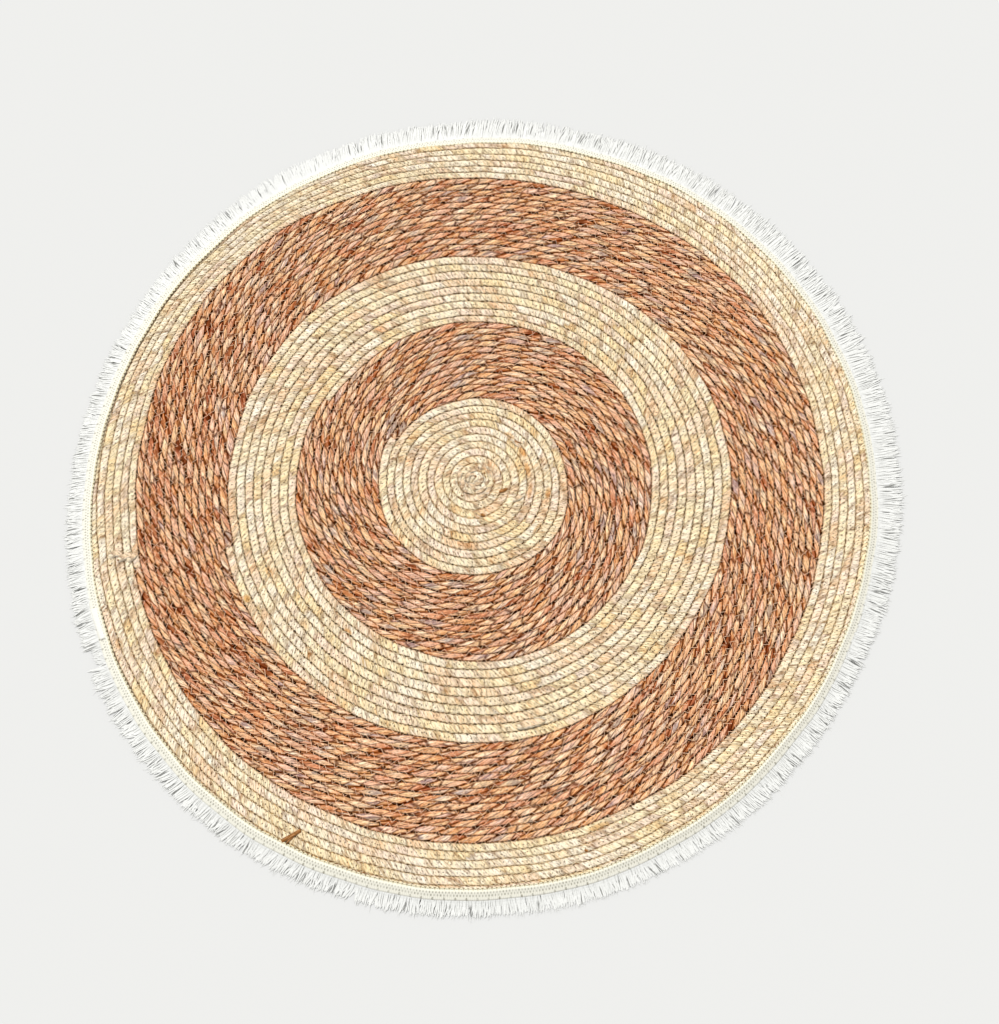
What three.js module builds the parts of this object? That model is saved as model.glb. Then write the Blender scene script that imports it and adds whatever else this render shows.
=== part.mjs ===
// A round rug of coiled rush rope. One long rope is wound from the middle outwards and sewn turn to
// turn, in natural and in brown lengths, and a cotton fringe is sewn over its outermost turn.
// Millimetres, +Z up. The origin is on the floor, under the middle of the rug.
import * as THREE from 'three';
import { mergeVertices } from 'three/addons/utils/BufferGeometryUtils.js';

// The rope's section, as heights above the floor.
const CREST_HEIGHT = 9;
const SEAM_HEIGHT = 6.4;
const RIM_HEIGHT = 4;
const RIM_UNDERCUT = 1.2;

// Pieces that are sewn together stand this far apart.
const PIECE_GAP = 0.3;

// The rope winds clockwise, seen from above, and its first turn starts at this angle from +X.
const START_ANGLE = THREE.MathUtils.degToRad(210);

// Facets of one turn in the natural middle, and in all that lies around it.
const MIDDLE_STEPS = 24;
const STEPS = 48;

const NATURAL = { color: 0xe2cb98, roughness: 0.75 };
const BROWN = { color: 0xa9714c, roughness: 0.8 };
const COTTON = { color: 0xf0efe6, roughness: 0.9 };

// The rope's lengths, from the middle out: how many turns each makes, and how wide its rope is.
const LENGTHS = [
  { name: 'centre_coil', rush: NATURAL, turns: 12, pitch: 9.8, steps: MIDDLE_STEPS },
  { name: 'inner_brown_coil', rush: BROWN, turns: 12, pitch: 8.3, steps: STEPS },
  { name: 'middle_cream_coil', rush: NATURAL, turns: 8.875, pitch: 10.5, steps: STEPS },
  { name: 'outer_brown_coil', rush: BROWN, turns: 13, pitch: 8.5, steps: STEPS },
  { name: 'outer_cream_coil', rush: NATURAL, turns: 6, pitch: 9.1, steps: STEPS },
];

// How far a ring of each radius is off a true circle: its shift to the right and to the far side,
// then the waves of two, three and four swells that push it outwards.
const UNEVENNESS = [
  { radius: 0, right: -0.9, far: 4.4, cos2: 0, sin2: 0, cos3: 0, sin3: 0, cos4: 0, sin4: 0 },
  { radius: 113, right: -3.3, far: -0.8, cos2: 0.8, sin2: 0.4, cos3: -0.3, sin3: 0.3, cos4: -0.6, sin4: 0.7 },
  { radius: 213, right: -1.9, far: -0.6, cos2: -0.6, sin2: -1.2, cos3: -0.5, sin3: -0.1, cos4: 0.4, sin4: -0.2 },
  { radius: 306, right: -0.7, far: 0, cos2: 0.6, sin2: -1, cos3: 1.3, sin3: -1.8, cos4: -0.7, sin4: -1.4 },
  { radius: 417, right: 0.3, far: 2.3, cos2: 0.2, sin2: -0.3, cos3: 1.9, sin3: -2.8, cos4: -1.3, sin4: -0.8 },
  { radius: 471, right: 3.7, far: 0.1, cos2: 1.6, sin2: -5.4, cos3: 0, sin3: -0.8, cos4: 0, sin4: 0 },
];

// The swells fade out inside this radius, where a ring is hardly bigger than they are.
const SWELL_RADIUS = 100;

// The end of the rope thins out along this part of its last turn, down to this share of its width.
const TAPER_TURNS = 3 / STEPS;
const TAPER_END = 0.12;

// The tape of the fringe runs along a line of its own, and covers the rope by no more than this.
const TAPE_LINE = {
  radius: 467.9, right: 6.1, far: 0.1, cos2: 0.7, sin2: -6.6, cos3: 1.4, sin3: -0.7, cos4: -0.2, sin4: -1.4,
};
const TAPE_OVERLAP = { least: 1, most: 7.5 };
const TAPE_THICKNESS = 1.2;
const TAPE_LIFT = 0.4;
// It climbs to the height of the crest over this distance, which is well under half a rope.
const TAPE_CLIMB = 3.2;

// The tape comes down to the floor just outside the rope, and its yarns lie there in locks.
const FOOT = { out: 3, height: 2.2 };
const SHOULDER = { out: 1.7, height: 5.2 };
const REACH = { mean: 32.8, right: 3.8, far: 3.1 };
const LOCKS_PER_STEP = 5;
const LOCK = { rootShare: 0.84, tipShare: 0.72, tipThickness: 0.8, lengthSpread: 0.05, leanSpread: 1.1 };

// How far the tips lean clockwise, every 30 degrees from the right.
const LEAN = [-1, 0, -2, 0, 4, 2, -2, 1, 3, 5, -1, -2];
const SPREAD_STEP = 12.99;
const SPREAD_SCALE = 437.5;

const lerp = THREE.MathUtils.lerp;
const clamp = THREE.MathUtils.clamp;

// The total turns wound before each length starts.
const firstTurns = [0];
for (const length of LENGTHS) {
  firstTurns.push(firstTurns.at(-1) + length.turns);
}
const LAST_TURN = firstTurns.at(-1);

// Radius of the seam outside the rope after so many turns.
function seamRadius(turn) {
  let radius = 0;
  LENGTHS.forEach((length, i) => {
    radius += length.pitch * clamp(turn - firstTurns[i], 0, length.turns);
  });
  return radius;
}

// The row of the unevenness table for a radius, blended between its neighbours.
function unevennessAt(radius) {
  const next = UNEVENNESS.findIndex((row) => row.radius >= radius);
  if (next < 1) {
    return next < 0 ? UNEVENNESS.at(-1) : UNEVENNESS[0];
  }
  const [before, after] = [UNEVENNESS[next - 1], UNEVENNESS[next]];
  const share = (radius - before.radius) / (after.radius - before.radius);
  return Object.fromEntries(Object.keys(before).map((key) => [key, lerp(before[key], after[key], share)]));
}

function outward(angle) {
  return new THREE.Vector3(Math.cos(angle), -Math.sin(angle), 0);
}

// A point of an uneven ring.
function ringPoint(radius, angle, row, height) {
  let swell = 0;
  for (const n of [2, 3, 4]) {
    swell += row[`cos${n}`] * Math.cos(n * angle) + row[`sin${n}`] * Math.sin(n * angle);
  }
  const point = outward(angle).multiplyScalar(radius + swell * Math.min(1, radius / SWELL_RADIUS));
  return point.add(new THREE.Vector3(row.right, row.far, height));
}

function turnAngle(turn) {
  return START_ANGLE + turn * 2 * Math.PI;
}

function coilPoint(turn, radius, height) {
  return ringPoint(radius, turnAngle(turn), unevennessAt(radius), height);
}

// Share of the full rope width that is left near the very end of the rope.
function ropeWidth(turn) {
  const share = clamp((turn - (LAST_TURN - TAPER_TURNS)) / TAPER_TURNS, 0, 1);
  return lerp(1, TAPER_END, THREE.MathUtils.smoothstep(share, 0, 1));
}

// Radius of the outside of the rope on its last turn, where it thins out at the end.
function rimRadius(turn) {
  return lerp(seamRadius(turn - 1), seamRadius(turn), ropeWidth(turn));
}

// Quads between two lines of the same length. Their normals follow from the first line, the second
// line and the way that both run.
function addStrip(faces, first, second) {
  for (let i = 0; i + 1 < first.length; i += 1) {
    faces.push([first[i], second[i], second[i + 1]], [first[i], second[i + 1], first[i + 1]]);
  }
}

// A flat convex face with its points in order.
function addFan(faces, points) {
  for (let i = 1; i + 1 < points.length; i += 1) {
    faces.push([points[0], points[i], points[i + 1]]);
  }
}

// The flat underside between an outline and the hole in it.
function addUnderside(faces, outline, hole) {
  const holes = hole.length > 0 ? [hole] : [];
  const points = [...outline, ...hole];
  for (const [a, b, c] of THREE.ShapeUtils.triangulateShape(outline, holes)) {
    const [p, q, r] = [points[a], points[b], points[c]];
    const turnsLeft = (q.x - p.x) * (r.y - p.y) - (q.y - p.y) * (r.x - p.x) > 0;
    faces.push(turnsLeft ? [p, r, q] : [p, q, r]);
  }
}

function makeMesh(name, finish, faces) {
  const solidFaces = faces.filter(([a, b, c]) => a.distanceTo(b) * b.distanceTo(c) * c.distanceTo(a) > 0);
  const geometry = new THREE.BufferGeometry().setFromPoints(solidFaces.flat());
  const material = new THREE.MeshStandardMaterial({ ...finish, flatShading: true });
  const mesh = new THREE.Mesh(mergeVertices(geometry), material);
  mesh.name = name;
  return mesh;
}

// One length of the coil: ribbed on top along its turns, flat below, and square at its two ends.
function makeCoil(length, firstTurn) {
  const { steps } = length;
  const count = Math.round(length.turns * steps);
  const isMiddle = firstTurn === 0;
  const isRim = firstTurn + length.turns === LAST_TURN;

  // Seam points run from one turn before the start, which is the edge of the length inside it.
  const seam = [];
  const floor = [];
  for (let i = -steps; i <= count; i += 1) {
    const inside = i <= 0;
    const outside = i >= count - steps;
    let turn = firstTurn + i / steps;
    let radius = Math.max(0, outside && isRim ? rimRadius(turn) : seamRadius(turn));
    if (!isMiddle && inside) {
      radius += PIECE_GAP / 2;
    }
    if (!isRim && outside) {
      radius -= PIECE_GAP / 2;
    }
    // The square ends stand back from the next length by the same gap.
    const nudge = PIECE_GAP / 2 / (2 * Math.PI * radius);
    if (!isMiddle && (i === 0 || i === -steps)) {
      turn += nudge;
    }
    if (i === count || i === count - steps) {
      turn -= nudge;
    }
    const height = outside && isRim ? RIM_HEIGHT : SEAM_HEIGHT;
    const draw = outside && isRim ? RIM_UNDERCUT : 0;
    seam.push(coilPoint(turn, radius, height));
    floor.push(coilPoint(turn, radius - draw, 0));
  }

  // Crest points lie halfway between the seams, and rise with the rope from the very middle.
  const crest = [];
  for (let i = 0; i <= count; i += 1) {
    const turn = firstTurn + i / steps;
    const middle = new THREE.Vector3().lerpVectors(seam[i], seam[i + steps], 0.5);
    const rise = (CREST_HEIGHT - middle.z) * ropeWidth(turn) * Math.min(1, turn);
    crest.push(middle.add(new THREE.Vector3(0, 0, rise)));
  }

  const faces = [];
  addStrip(faces, crest, seam.slice(0, count + 1));
  addStrip(faces, seam.slice(steps), crest);
  const outerTop = seam.slice(count);
  const outerFloor = floor.slice(count);
  addStrip(faces, outerFloor, outerTop);
  addFan(faces, [outerFloor[steps], outerTop[steps], crest[count], outerTop[0], outerFloor[0]]);
  if (isMiddle) {
    addUnderside(faces, outerFloor, []);
    return makeMesh(length.name, length.rush, faces);
  }
  const innerTop = seam.slice(0, steps + 1);
  const innerFloor = floor.slice(0, steps + 1);
  addStrip(faces, innerTop, innerFloor);
  addFan(faces, [innerFloor[0], innerTop[0], crest[0], innerTop[steps], innerFloor[steps]]);
  addUnderside(faces, outerFloor, innerFloor);
  return makeMesh(length.name, length.rush, faces);
}

// Height of the underside of the tape, so far in from the outside of the rope.
function tapeUnderside(inset) {
  const share = clamp((inset + TAPE_LIFT) / (TAPE_CLIMB + TAPE_LIFT), 0, 1);
  return lerp(RIM_HEIGHT + TAPE_LIFT, CREST_HEIGHT + TAPE_LIFT, share);
}

// The section of the tape at one of its steps: its place on the rim and how much rope it covers.
function tapeSection(step) {
  const turn = LAST_TURN - 1 + step / STEPS;
  const angle = turnAngle(turn);
  const out = outward(angle);
  const radius = step === 0 ? rimRadius(LAST_TURN) : rimRadius(turn);
  const rim = coilPoint(turn, radius, 0);
  const tapeEdge = ringPoint(TAPE_LINE.radius, angle, TAPE_LINE, 0);
  const overlap = clamp(rim.clone().sub(tapeEdge).dot(out), TAPE_OVERLAP.least, TAPE_OVERLAP.most);
  return { angle, out, rim, overlap };
}

function sectionPoint(section, distance, height) {
  return section.rim.clone().addScaledVector(section.out, distance).setZ(height);
}

// A repeatable number between -1 and 1, which jumps about from one lock to the next.
function spread(index, salt) {
  const noise = SPREAD_SCALE * Math.sin(index * SPREAD_STEP + salt);
  return 2 * (noise - Math.floor(noise)) - 1;
}

function leanAt(angle) {
  const place = (((angle / (2 * Math.PI)) % 1) + 1) % 1 * LEAN.length;
  const before = Math.floor(place) % LEAN.length;
  return lerp(LEAN[before], LEAN[(before + 1) % LEAN.length], place - Math.floor(place));
}

// The far end of one lock: left and right, each as a floor point and a point above it.
function lockTip(index, middle, angle, overlap, rootWidth) {
  const out = outward(angle);
  const along = outward(angle + Math.PI / 2);
  const reach = REACH.mean + REACH.right * Math.cos(angle) - REACH.far * Math.sin(angle);
  const length = (reach - overlap - FOOT.out) * (1 + LOCK.lengthSpread * spread(index, 1));
  const lean = leanAt(angle) + LOCK.leanSpread * spread(index, 2);
  const tip = middle.clone().addScaledVector(out, length).addScaledVector(along, lean);
  const halfWidth = rootWidth * LOCK.tipShare / LOCK.rootShare / 2;
  return [-halfWidth, halfWidth].map((offset) => {
    const low = tip.clone().addScaledVector(along, offset);
    return [low, low.clone().setZ(LOCK.tipThickness)];
  });
}

// The locks along one facet of the tape's foot, and the wall between them.
function addLocks(faces, sections, step) {
  const [start, end] = [sections[step], sections[step + 1]];
  const rootAt = (share, height) => new THREE.Vector3().lerpVectors(
    sectionPoint(start, FOOT.out, height), sectionPoint(end, FOOT.out, height), share);
  const margin = (1 - LOCK.rootShare) / 2;
  const shares = [0];
  for (let k = 0; k < LOCKS_PER_STEP; k += 1) {
    shares.push((k + margin) / LOCKS_PER_STEP, (k + 1 - margin) / LOCKS_PER_STEP);
  }
  shares.push(1);
  const low = shares.map((share) => rootAt(share, 0));
  const high = shares.map((share) => rootAt(share, FOOT.height));

  for (let i = 0; i + 1 < shares.length; i += 2) {
    addStrip(faces, low.slice(i, i + 2), high.slice(i, i + 2));
  }
  for (let k = 0; k < LOCKS_PER_STEP; k += 1) {
    const [a, b] = [2 * k + 1, 2 * k + 2];
    const share = (shares[a] + shares[b]) / 2;
    const angle = lerp(start.angle, end.angle, share);
    const overlap = lerp(start.overlap, end.overlap, share);
    const width = low[a].distanceTo(low[b]);
    const [left, right] = lockTip(step * LOCKS_PER_STEP + k, rootAt(share, 0), angle, overlap, width);
    const root = [low[a], low[b], high[b], high[a], low[a]];
    const tip = [left[0], right[0], right[1], left[1], left[0]];
    addStrip(faces, root, tip);
    addFan(faces, tip.slice(1).toReversed());
  }
  return { low, high };
}

// The fringe: a tape over the rope's outside, its foot on the floor, and the locks of yarn.
function makeFringe() {
  const sections = [];
  for (let step = 0; step < STEPS; step += 1) {
    sections.push(tapeSection(step));
  }
  sections.push({ ...sections[0], angle: sections[0].angle + 2 * Math.PI });

  const lines = sections.map((section) => {
    const bend = section.overlap > TAPE_CLIMB ? TAPE_CLIMB : section.overlap / 2;
    const edgeHeight = tapeUnderside(section.overlap);
    const bendHeight = tapeUnderside(bend);
    return {
      edgeTop: sectionPoint(section, -section.overlap, edgeHeight + TAPE_THICKNESS),
      edgeUnder: sectionPoint(section, -section.overlap, edgeHeight),
      bendUnder: sectionPoint(section, -bend, bendHeight),
      rimUnder: sectionPoint(section, TAPE_LIFT, RIM_HEIGHT + TAPE_LIFT),
      rimFloor: sectionPoint(section, TAPE_LIFT, 0),
      shoulder: sectionPoint(section, SHOULDER.out, SHOULDER.height),
      bendTop: sectionPoint(section, -bend + TAPE_THICKNESS / 2, bendHeight + TAPE_THICKNESS),
    };
  });
  const line = (name) => lines.map((points) => points[name]);

  const faces = [];
  const order = ['shoulder', 'bendTop', 'edgeTop', 'edgeUnder', 'bendUnder', 'rimUnder', 'rimFloor'];
  for (let i = 0; i + 1 < order.length; i += 1) {
    addStrip(faces, line(order[i]), line(order[i + 1]));
  }
  for (let step = 0; step < STEPS; step += 1) {
    const { low, high } = addLocks(faces, sections, step);
    const [start, end] = [lines[step], lines[step + 1]];
    addFan(faces, [start.shoulder, end.shoulder, ...high.toReversed()]);
    addFan(faces, [end.rimFloor, start.rimFloor, ...low]);
  }
  return makeMesh('fringe_tape', COTTON, faces);
}

const rug = new THREE.Group();
rug.name = 'round_rush_rug';
LENGTHS.forEach((length, i) => rug.add(makeCoil(length, firstTurns[i])));
rug.add(makeFringe());

export default rug;
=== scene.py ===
# %% [markdown]
# A round rug of coiled rush rope, seen a little from the near side. The real one is a single long
# rope of twisted leaves, wound from the middle outwards and sewn turn to turn, in natural and in
# brown lengths. A cotton tape with a fringe is sewn over its outermost turn.
#
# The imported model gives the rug's sizes and is the fixed frame. Every solid in it is soft, so each
# gets a finer piece here that takes its place.

# %% Load the frame
import math

import bpy
import numpy as np
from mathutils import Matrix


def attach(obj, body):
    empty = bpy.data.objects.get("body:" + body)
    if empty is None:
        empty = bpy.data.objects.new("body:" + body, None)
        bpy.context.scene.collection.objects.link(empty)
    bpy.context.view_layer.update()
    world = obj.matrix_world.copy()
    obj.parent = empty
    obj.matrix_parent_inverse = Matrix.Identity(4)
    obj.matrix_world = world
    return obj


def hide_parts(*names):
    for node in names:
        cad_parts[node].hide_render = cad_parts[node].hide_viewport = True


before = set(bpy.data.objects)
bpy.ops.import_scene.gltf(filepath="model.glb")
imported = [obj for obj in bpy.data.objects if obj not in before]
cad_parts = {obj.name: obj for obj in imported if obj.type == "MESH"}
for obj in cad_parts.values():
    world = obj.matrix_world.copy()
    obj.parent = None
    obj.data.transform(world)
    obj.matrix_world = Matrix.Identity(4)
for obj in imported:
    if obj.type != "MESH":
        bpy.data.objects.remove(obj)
bpy.ops.object.select_all(action="DESELECT")


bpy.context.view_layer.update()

# %% [markdown]
# The camera comes first. Its height and its tilt were worked out from the rings of the rug, which
# are ellipses in the picture. A camera that looks straight down and tips forward by 15 degrees
# gives the same ellipses. The colours of the picture are plain, so the view transform is Standard.

# %% Camera
CAMERA_PLACE = (0, -0.4062, 1.3523)
CAMERA_TILT = math.radians(15.364)
CAMERA_ROLL = math.radians(-1.047)

bpy.ops.object.camera_add(location=CAMERA_PLACE)
camera = bpy.context.object
camera.name = "camera"
camera.rotation_mode = "YXZ"
camera.rotation_euler = (CAMERA_TILT, CAMERA_ROLL, 0)
camera.data.sensor_width = 36
camera.data.lens = 40.96
camera.data.clip_start = 0.05
bpy.context.scene.camera = camera
bpy.context.scene.view_settings.view_transform = "Standard"
print("camera", tuple(camera.location), "lens", camera.data.lens)

# %% [markdown]
# Next come the sizes of the rope, in millimetres, because a rope is measured in them. They are the
# sizes that the frame was built with. The rope has five lengths. Each is known by how many turns it
# makes and by its pitch, the distance from one turn to the next. The first and the last turn of each
# are counted through the whole rope.

# %% The rope's sizes
MM = 0.001
START_ANGLE = math.radians(210)
RIM = 471
LENGTHS = {
    "centre_coil": {"turns": 12, "pitch": 9.8},
    "inner_brown_coil": {"turns": 12, "pitch": 8.3},
    "middle_cream_coil": {"turns": 8.875, "pitch": 10.5},
    "outer_brown_coil": {"turns": 13, "pitch": 8.5},
    "outer_cream_coil": {"turns": 6, "pitch": 9.1},
}
CREST_HEIGHT = 8.8

turns_before = 0
for length in LENGTHS.values():
    length["first"] = turns_before
    turns_before += length["turns"]
    length["last"] = turns_before
LAST_TURN = turns_before
print("turns in all:", LAST_TURN)


# %% [markdown]
# The rings of the real rug aren't true circles. This table says how far a ring of each radius is
# off one: a shift to the right and to the far side, then the waves of two, three and four swells.
# Rings in between blend the rows. Smaller waves, a few fingers long, come on top, and they move all
# the pieces alike, so that what is sewn together stays together.

# %% Uneven rings
UNEVENNESS = {
    "radius": [0, 113, 213, 306, 417, RIM],
    "right": [-4.6, -3.3, -1.9, -0.7, 0.3, 3.7],
    "far": [3.8, -0.8, -0.6, 0, 2.3, 0.1],
    "cos2": [0, 0.8, -0.6, 0.6, 0.2, 1.6],
    "sin2": [0, 0.4, -1.2, -1, -0.3, -5.4],
    "cos3": [0, -0.3, -0.5, 1.3, 1.9, 0],
    "sin3": [0, 0.3, -0.1, -1.8, -2.8, -0.8],
    "cos4": [0, -0.6, 0.4, -0.7, -1.3, 0],
    "sin4": [0, 0.7, -0.2, -1.4, -0.8, 0],
}
SWELL_RADIUS = 100
# Each ripple has a length, a heading in degrees and a height.
RIPPLES = [(170, 20, 0.5), (121, 75, 0.4), (83, 130, 0.35), (61, 10, 0.25), (47, 100, 0.2)]


def uneven_row(radius):
    """The rows of the table, blended for each radius."""
    return {key: np.interp(radius, UNEVENNESS["radius"], column) for key, column in UNEVENNESS.items()}


def as_points(x, y, height):
    return np.stack(np.broadcast_arrays(x, y, height), axis=-1).astype(float)


def ring_point(radius, angle, row, height):
    """Points of an uneven ring, with angles clockwise from the right."""
    swell = 0
    for count in (2, 3, 4):
        swell = swell + row[f"cos{count}"] * np.cos(count * angle)
        swell = swell + row[f"sin{count}"] * np.sin(count * angle)
    far_out = radius + swell * np.minimum(1, radius / SWELL_RADIUS)
    x = far_out * np.cos(angle) + row["right"]
    y = -far_out * np.sin(angle) + row["far"]
    return as_points(x, y, height)


def rippled(points):
    """The same points, pushed about sideways by the small ripples."""
    moved = points.copy()
    for length, degrees, height in RIPPLES:
        heading = math.radians(degrees)
        across = points[..., 0] * math.cos(heading) + points[..., 1] * math.sin(heading)
        push = height * np.sin(2 * math.pi * across / length)
        moved[..., 0] += push * math.cos(heading + 1)
        moved[..., 1] += push * math.sin(heading + 1)
    return moved


# %% [markdown]
# The rope runs along a spiral. Its seams are the lines where it was sewn to the turn inside it and
# to the turn outside it, and a turn lies between the seam of the turn before and its own. A worker
# never lays a rope quite evenly, so each seam also wanders a little along its way, and most of all
# in the first turns, which are the hardest to bend.

# %% The path of the rope
SEAM_WANDERS = [(0.45, 55), (0.28, 21)]
FIRST_WANDER = 2.2
FIRST_TURNS = 3
NOISE_VALUES = 4096
TAPER_TURNS = 3 / 48
TAPER_END = 0.12


def stepped_noise(place, seed):
    """Repeatable values from -1 to 1, one for each whole number."""
    values = np.random.default_rng(seed).uniform(-1, 1, NOISE_VALUES)
    return values[np.floor(place).astype(int) % NOISE_VALUES]


def eased(share):
    """A share from 0 to 1 that starts and ends gently."""
    return share * share * (3 - 2 * share)


def smooth_noise(place, seed):
    """Repeatable values from -1 to 1, which run smoothly from each whole number to the next."""
    share = eased(place - np.floor(place))
    return stepped_noise(place, seed) * (1 - share) + stepped_noise(np.floor(place) + 1, seed) * share


def even_seam(turn):
    """Radius of the seam outside the rope after so many turns."""
    radius = 0
    for length in LENGTHS.values():
        radius = radius + length["pitch"] * np.clip(turn - length["first"], 0, length["turns"])
    return radius


TURN_TABLE = np.linspace(0, LAST_TURN, 20000)
half_way = (TURN_TABLE[1:] + TURN_TABLE[:-1]) / 2
ALONG_TABLE = np.append(0, np.cumsum(np.diff(TURN_TABLE) * math.tau * even_seam(half_way - 0.5)))


def along_of(turn):
    """How far along the rope a turn is, in millimetres."""
    return np.interp(turn, TURN_TABLE, ALONG_TABLE)


def turn_of(along):
    return np.interp(along, ALONG_TABLE, TURN_TABLE)


def seam_radius(turn):
    wander = 0
    for number, (reach, length) in enumerate(SEAM_WANDERS):
        wander = wander + reach * smooth_noise(along_of(turn) / length, 1 + 30 * number)
    more = 1 + FIRST_WANDER * np.exp(-turn / FIRST_TURNS)
    return even_seam(turn) + wander * np.clip(turn - 0.5, 0, 1) * more


def rope_width(turn):
    """The share of its width that the rope keeps, down to its thin end."""
    share = np.clip((turn - (LAST_TURN - TAPER_TURNS)) / TAPER_TURNS, 0, 1)
    return 1 + (TAPER_END - 1) * eased(share)


def turn_angle(turn):
    return START_ANGLE + math.tau * turn


def coil_point(turn, radius, height):
    return rippled(ring_point(radius, turn_angle(turn), uneven_row(radius), height))


print("rope in all, in metres:", round(ALONG_TABLE[-1] * MM, 2))

# %% [markdown]
# Two helpers make meshes from arrays of points. The first skins rings of points into a closed tube
# with a cap at either end, the way a rope is swept along its path, and gives it a UV map: U is the
# distance along the rope in metres, and V goes once round it. The second sweeps many thin strands
# at once, for the sewing thread and the fringe. The U of each strand starts 100 millimetres after
# that of the one before, so that a finish can tell them apart.

# %% Helpers for tubes and strands
triangle_counts = {}
STRAND_APART = 100


def counted(piece):
    """The same piece, once the number of its triangles is noted."""
    piece.data.calc_loop_triangles()
    triangle_counts[piece.name] = len(piece.data.loop_triangles)
    print(piece.name, "has", triangle_counts[piece.name], "triangles")
    return piece


def make_piece(name, points, faces, uv):
    """A smooth mesh object from points in millimetres."""
    mesh = bpy.data.meshes.new(name)
    mesh.from_pydata(points.reshape(-1, 3) * MM, [], faces)
    layer = mesh.uv_layers.new(name="rope")
    layer.uv.foreach_set("vector", np.asarray(uv, np.float32).ravel())
    mesh.shade_smooth()
    piece = bpy.data.objects.new(name, mesh)
    bpy.context.scene.collection.objects.link(piece)
    return counted(piece)


def tube_faces(rings, sides, first):
    """Quads between rings, and the corners of each as (ring, side) for the UV map."""
    ring, side = np.meshgrid(np.arange(rings - 1), np.arange(sides), indexing="ij")
    corners = np.stack(
        [np.stack([ring + a, side + b], axis=-1) for a, b in ((0, 0), (0, 1), (1, 1), (1, 0))], axis=-2
    ).reshape(-1, 4, 2)
    return first + corners[..., 0] * sides + corners[..., 1] % sides, corners


def make_tube(name, rings, along, around):
    """A closed tube through rings of points. along has a distance for each ring, and around a V for
    each side."""
    count, sides = rings.shape[:2]
    quads, corners = tube_faces(count, sides, 0)
    around = np.append(around, around[0] + 1)
    uv = [np.stack([along[corners[..., 0]] * MM, around[corners[..., 1]]], axis=-1).reshape(-1, 2)]
    ends = np.stack([rings[0].mean(axis=0), rings[-1].mean(axis=0)])
    faces = quads.tolist()
    for side in range(sides):
        after = (side + 1) % sides
        faces.append([count * sides, after, side])
        last = (count - 1) * sides
        faces.append([count * sides + 1, last + side, last + after])
        for at in (along[0], along[-1]):
            uv.append(np.array([[at * MM, around[side]]] * 3))
    return make_piece(name, np.concatenate([rings.reshape(-1, 3), ends]), faces, np.concatenate(uv))


def sweep(lines, thickness, sides, flatness=1):
    """Points, faces and UV of strands. lines has the shape (strands, points, 3), and thickness
    (strands, points). flatness is the share of its width that a strand has as its height. A flat side
    of it is on top."""
    strands, count = lines.shape[:2]
    ahead = np.gradient(lines, axis=1)
    ahead /= np.maximum(np.linalg.norm(ahead, axis=-1, keepdims=True), 1e-9)
    beside = np.cross(ahead, [0.0, 0.0, 1.0])
    beside /= np.maximum(np.linalg.norm(beside, axis=-1, keepdims=True), 1e-9)
    above = np.cross(beside, ahead)
    turn = (np.arange(sides) + 0.5) / sides * math.tau
    ring = above[:, :, None] * np.cos(turn)[:, None] * flatness + beside[:, :, None] * np.sin(turn)[:, None]
    points = lines[:, :, None] + ring * thickness[:, :, None, None] / 2
    quads, corners = tube_faces(count, sides, 0)
    steps = np.linalg.norm(np.diff(lines, axis=1), axis=-1)
    along = np.concatenate([np.zeros((strands, 1)), np.cumsum(steps, axis=1)], axis=1)
    along += np.arange(strands)[:, None] * STRAND_APART
    firsts = np.arange(strands) * count * sides
    faces = (quads[None] + firsts[:, None, None]).reshape(-1, 4).tolist()
    u = along[:, corners[..., 0]] * MM
    v = np.broadcast_to(corners[..., 1] / sides, u.shape)
    uv = [np.stack([u, v], axis=-1).reshape(-1, 2)]
    start_cap = np.arange(sides)[::-1]
    end_cap = (count - 1) * sides + np.arange(sides)
    for cap, at in ((start_cap, 0), (end_cap, -1)):
        faces += (firsts[:, None] + cap).tolist()
        uv.append(np.stack([np.repeat(along[:, at], sides) * MM, np.zeros(strands * sides)], axis=-1))
    return points.reshape(-1, 3), faces, np.concatenate(uv)


def make_strands(name, bundles):
    """One piece from several bundles of strands, each with what the sweep needs."""
    points, faces, uv = [], [], []
    first = 0
    for bundle in bundles:
        more_points, more_faces, more_uv = sweep(*bundle)
        points.append(more_points)
        faces += [[first + corner for corner in face] for face in more_faces]
        uv.append(more_uv)
        first += len(more_points)
    return make_piece(name, np.concatenate(points), faces, np.concatenate(uv))


# %% [markdown]
# The section of the rope is a squeezed circle. It is widest at its waist, where the turns press
# against each other, squarer than a circle above it, and round below. The sewing pulls the natural
# turns together so hard that their waist is high and their seams are shallow, and it presses the
# relief of the leaves flat at the waist. The turns overlap a little there, so that no floor shows.
# Each point also keeps how far across the rope it is, so that a finish can find the seams.

# %% Section of the rope
TOP_POWER = 2.6
FOOT_POWER = 1.6
HEIGHT_SPREAD = 0.35
HEIGHT_LENGTH = 28
END_ROUNDING = 3.5
END_SHARE = 0.68
END_GAP = 0.15
FIRST_TURN = 0.45
PRESSED = 0.3
SIDE_OVERLAP = 0.15


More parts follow.
